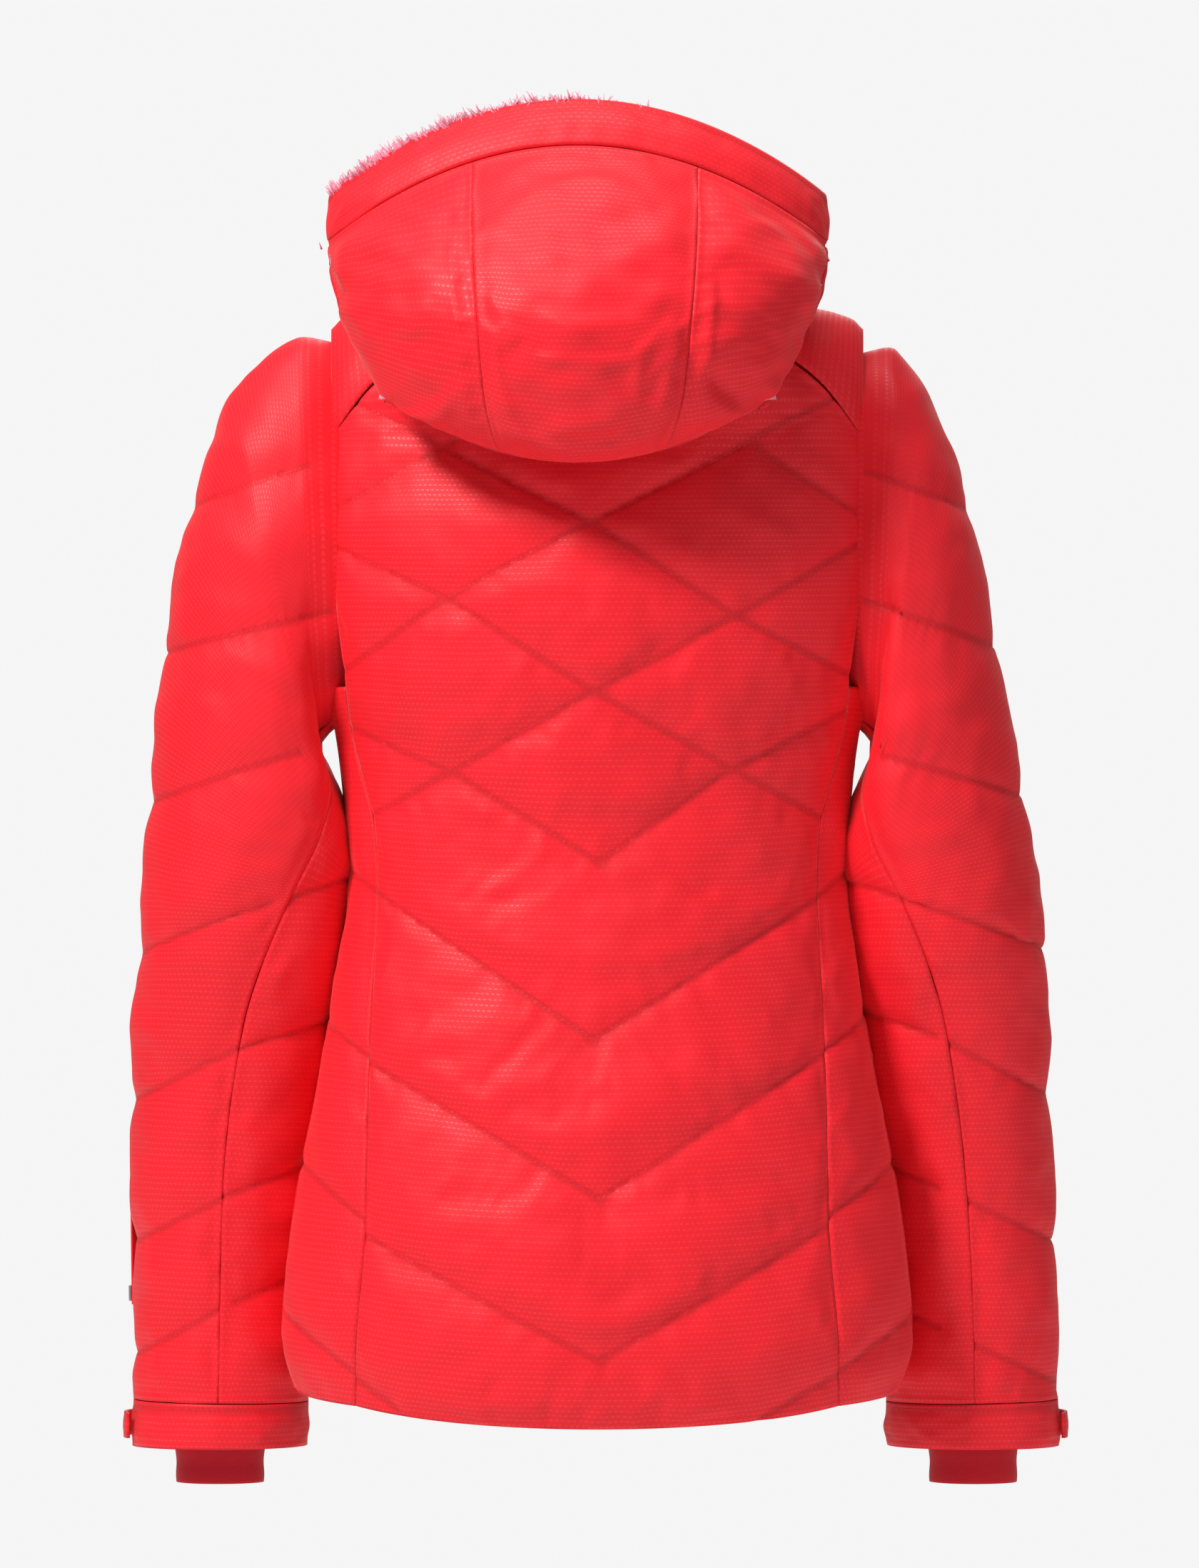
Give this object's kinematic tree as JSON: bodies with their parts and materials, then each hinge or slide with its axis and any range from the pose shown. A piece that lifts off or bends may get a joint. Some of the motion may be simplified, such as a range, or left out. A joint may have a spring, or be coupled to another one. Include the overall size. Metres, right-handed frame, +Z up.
{
  "type": "ski jacket",
  "caption": "Quilted hooded ski jacket with raglan sleeves, cuff tabs, wrist gaiters and zips, hanging closed with its hood resting on the back.",
  "frame": {"origin": "top of the hanger loop inside the nape, which carries the hanging jacket", "axes": "+X the wearer's right, +Y the wearer's front, +Z up"},
  "size_m": [0.59, 0.3322, 0.859],
  "materials": {
    "shell_fabric": "satin",
    "lining_fabric": "satin",
    "padding": "matte",
    "stretch_fabric": "matte",
    "pile_fabric": "matte",
    "woven_tape": "matte",
    "zip_plastic": "satin",
    "pull_metal": "satin"
  },
  "bodies": {
    "jacket_body": {"back_panel": "shell_fabric", "collar_shell": "shell_fabric", "hood_neck_band": "shell_fabric", "storm_flap": "shell_fabric", "front_panel_left": "shell_fabric", "side_panel_left": "shell_fabric", "raglan_left": "shell_fabric", "sleeve_outer_upper_left": "shell_fabric", "sleeve_under_upper_left": "shell_fabric", "hood_cheek_left": "shell_fabric", "front_panel_right": "shell_fabric", "side_panel_right": "shell_fabric", "raglan_right": "shell_fabric", "sleeve_outer_upper_right": "shell_fabric", "sleeve_under_upper_right": "shell_fabric", "hood_cheek_right": "shell_fabric", "back_lining": "lining_fabric", "collar_lining": "lining_fabric", "front_lining_left": "lining_fabric", "sleeve_lining_upper_left": "lining_fabric", "pocket_bag_left": "lining_fabric", "front_lining_right": "lining_fabric", "sleeve_lining_upper_right": "lining_fabric", "pocket_bag_right": "lining_fabric", "back_padding": "padding", "front_padding_left": "padding", "front_padding_right": "padding", "hanger_loop": "woven_tape", "front_zip_left": "woven_tape", "front_zip_right": "woven_tape", "pocket_left_zip": "woven_tape", "pocket_right_zip": "woven_tape", "front_zip_box": "zip_plastic"},
    "hood": {"hood_center_panel": "shell_fabric", "hood_side_left": "shell_fabric", "hood_side_right": "shell_fabric", "hood_brim": "shell_fabric", "hood_pile_lining": "pile_fabric"},
    "left_forearm": {"sleeve_outer_lower_left": "shell_fabric", "sleeve_under_lower_left": "shell_fabric", "sleeve_lining_lower_left": "lining_fabric", "cuff_band_left": "shell_fabric", "wrist_gaiter_left": "stretch_fabric", "pass_pocket_zip": "woven_tape"},
    "right_forearm": {"sleeve_outer_lower_right": "shell_fabric", "sleeve_under_lower_right": "shell_fabric", "sleeve_lining_lower_right": "lining_fabric", "cuff_band_right": "shell_fabric", "wrist_gaiter_right": "stretch_fabric"},
    "left_cuff_tab": {"cuff_tab_left": "shell_fabric"},
    "right_cuff_tab": {"cuff_tab_right": "shell_fabric"},
    "front_slider": {"front_zip_slider": "pull_metal"},
    "front_pull": {"front_zip_pull": "pull_metal"},
    "left_pocket_slider": {"pocket_slider_left": "pull_metal"},
    "left_pocket_pull": {"pocket_pull_left": "pull_metal"},
    "right_pocket_slider": {"pocket_slider_right": "pull_metal"},
    "right_pocket_pull": {"pocket_pull_right": "pull_metal"},
    "pass_slider": {"pass_pocket_slider": "pull_metal"}
  },
  "joints": [
    {"name": "hood_lift", "type": "hinge", "parent": "jacket_body", "child": "hood", "pos_m": [-0.012, 0.05, 0.015], "axis": [-1, 0, 0], "range_deg": [0, 45]},
    {"name": "left_elbow_bend", "type": "hinge", "parent": "jacket_body", "child": "left_forearm", "pos_m": [-0.223, 0.0855, -0.38], "axis": [1, 0, 0], "range_deg": [0, 50]},
    {"name": "right_elbow_bend", "type": "hinge", "parent": "jacket_body", "child": "right_forearm", "pos_m": [0.219, 0.0855, -0.38], "axis": [1, 0, 0], "range_deg": [0, 50]},
    {"name": "left_cuff_tab_peel", "type": "hinge", "parent": "left_forearm", "child": "left_cuff_tab", "pos_m": [-0.2785, 0.168, -0.676], "axis": [0, 0, -1], "range_deg": [0, 60]},
    {"name": "right_cuff_tab_peel", "type": "hinge", "parent": "right_forearm", "child": "right_cuff_tab", "pos_m": [0.2765, 0.168, -0.676], "axis": [0, 0, 1], "range_deg": [0, 60]},
    {"name": "front_zip_slide", "type": "slide", "parent": "jacket_body", "child": "front_slider", "axis": [0, 0.0673, -0.9977], "range_m": [0, 0.6]},
    {"name": "front_pull_swing", "type": "hinge", "parent": "front_slider", "child": "front_pull", "pos_m": [0, 0.13433, 0.01222], "axis": [1, 0, 0], "range_deg": [0, 150]},
    {"name": "left_pocket_slide", "type": "slide", "parent": "jacket_body", "child": "left_pocket_slider", "axis": [-0.16, 0.0308, -0.9866], "range_m": [0, 0.13]},
    {"name": "left_pocket_pull_swing", "type": "hinge", "parent": "left_pocket_slider", "child": "left_pocket_pull", "pos_m": [-0.1001, 0.1465, -0.40845], "axis": [0.8962, 0.4232, -0.1328], "range_deg": [0, 150]},
    {"name": "right_pocket_slide", "type": "slide", "parent": "jacket_body", "child": "right_pocket_slider", "axis": [0.16, 0.0308, -0.9866], "range_m": [0, 0.13]},
    {"name": "right_pocket_pull_swing", "type": "hinge", "parent": "right_pocket_slider", "child": "right_pocket_pull", "pos_m": [0.1001, 0.1465, -0.40845], "axis": [0.8962, -0.4232, 0.1328], "range_deg": [0, 150]},
    {"name": "pass_pocket_slide", "type": "slide", "parent": "left_forearm", "child": "pass_slider", "axis": [-0.0077, -0.1082, 0.9941], "range_m": [0, 0.085]}
  ]
}
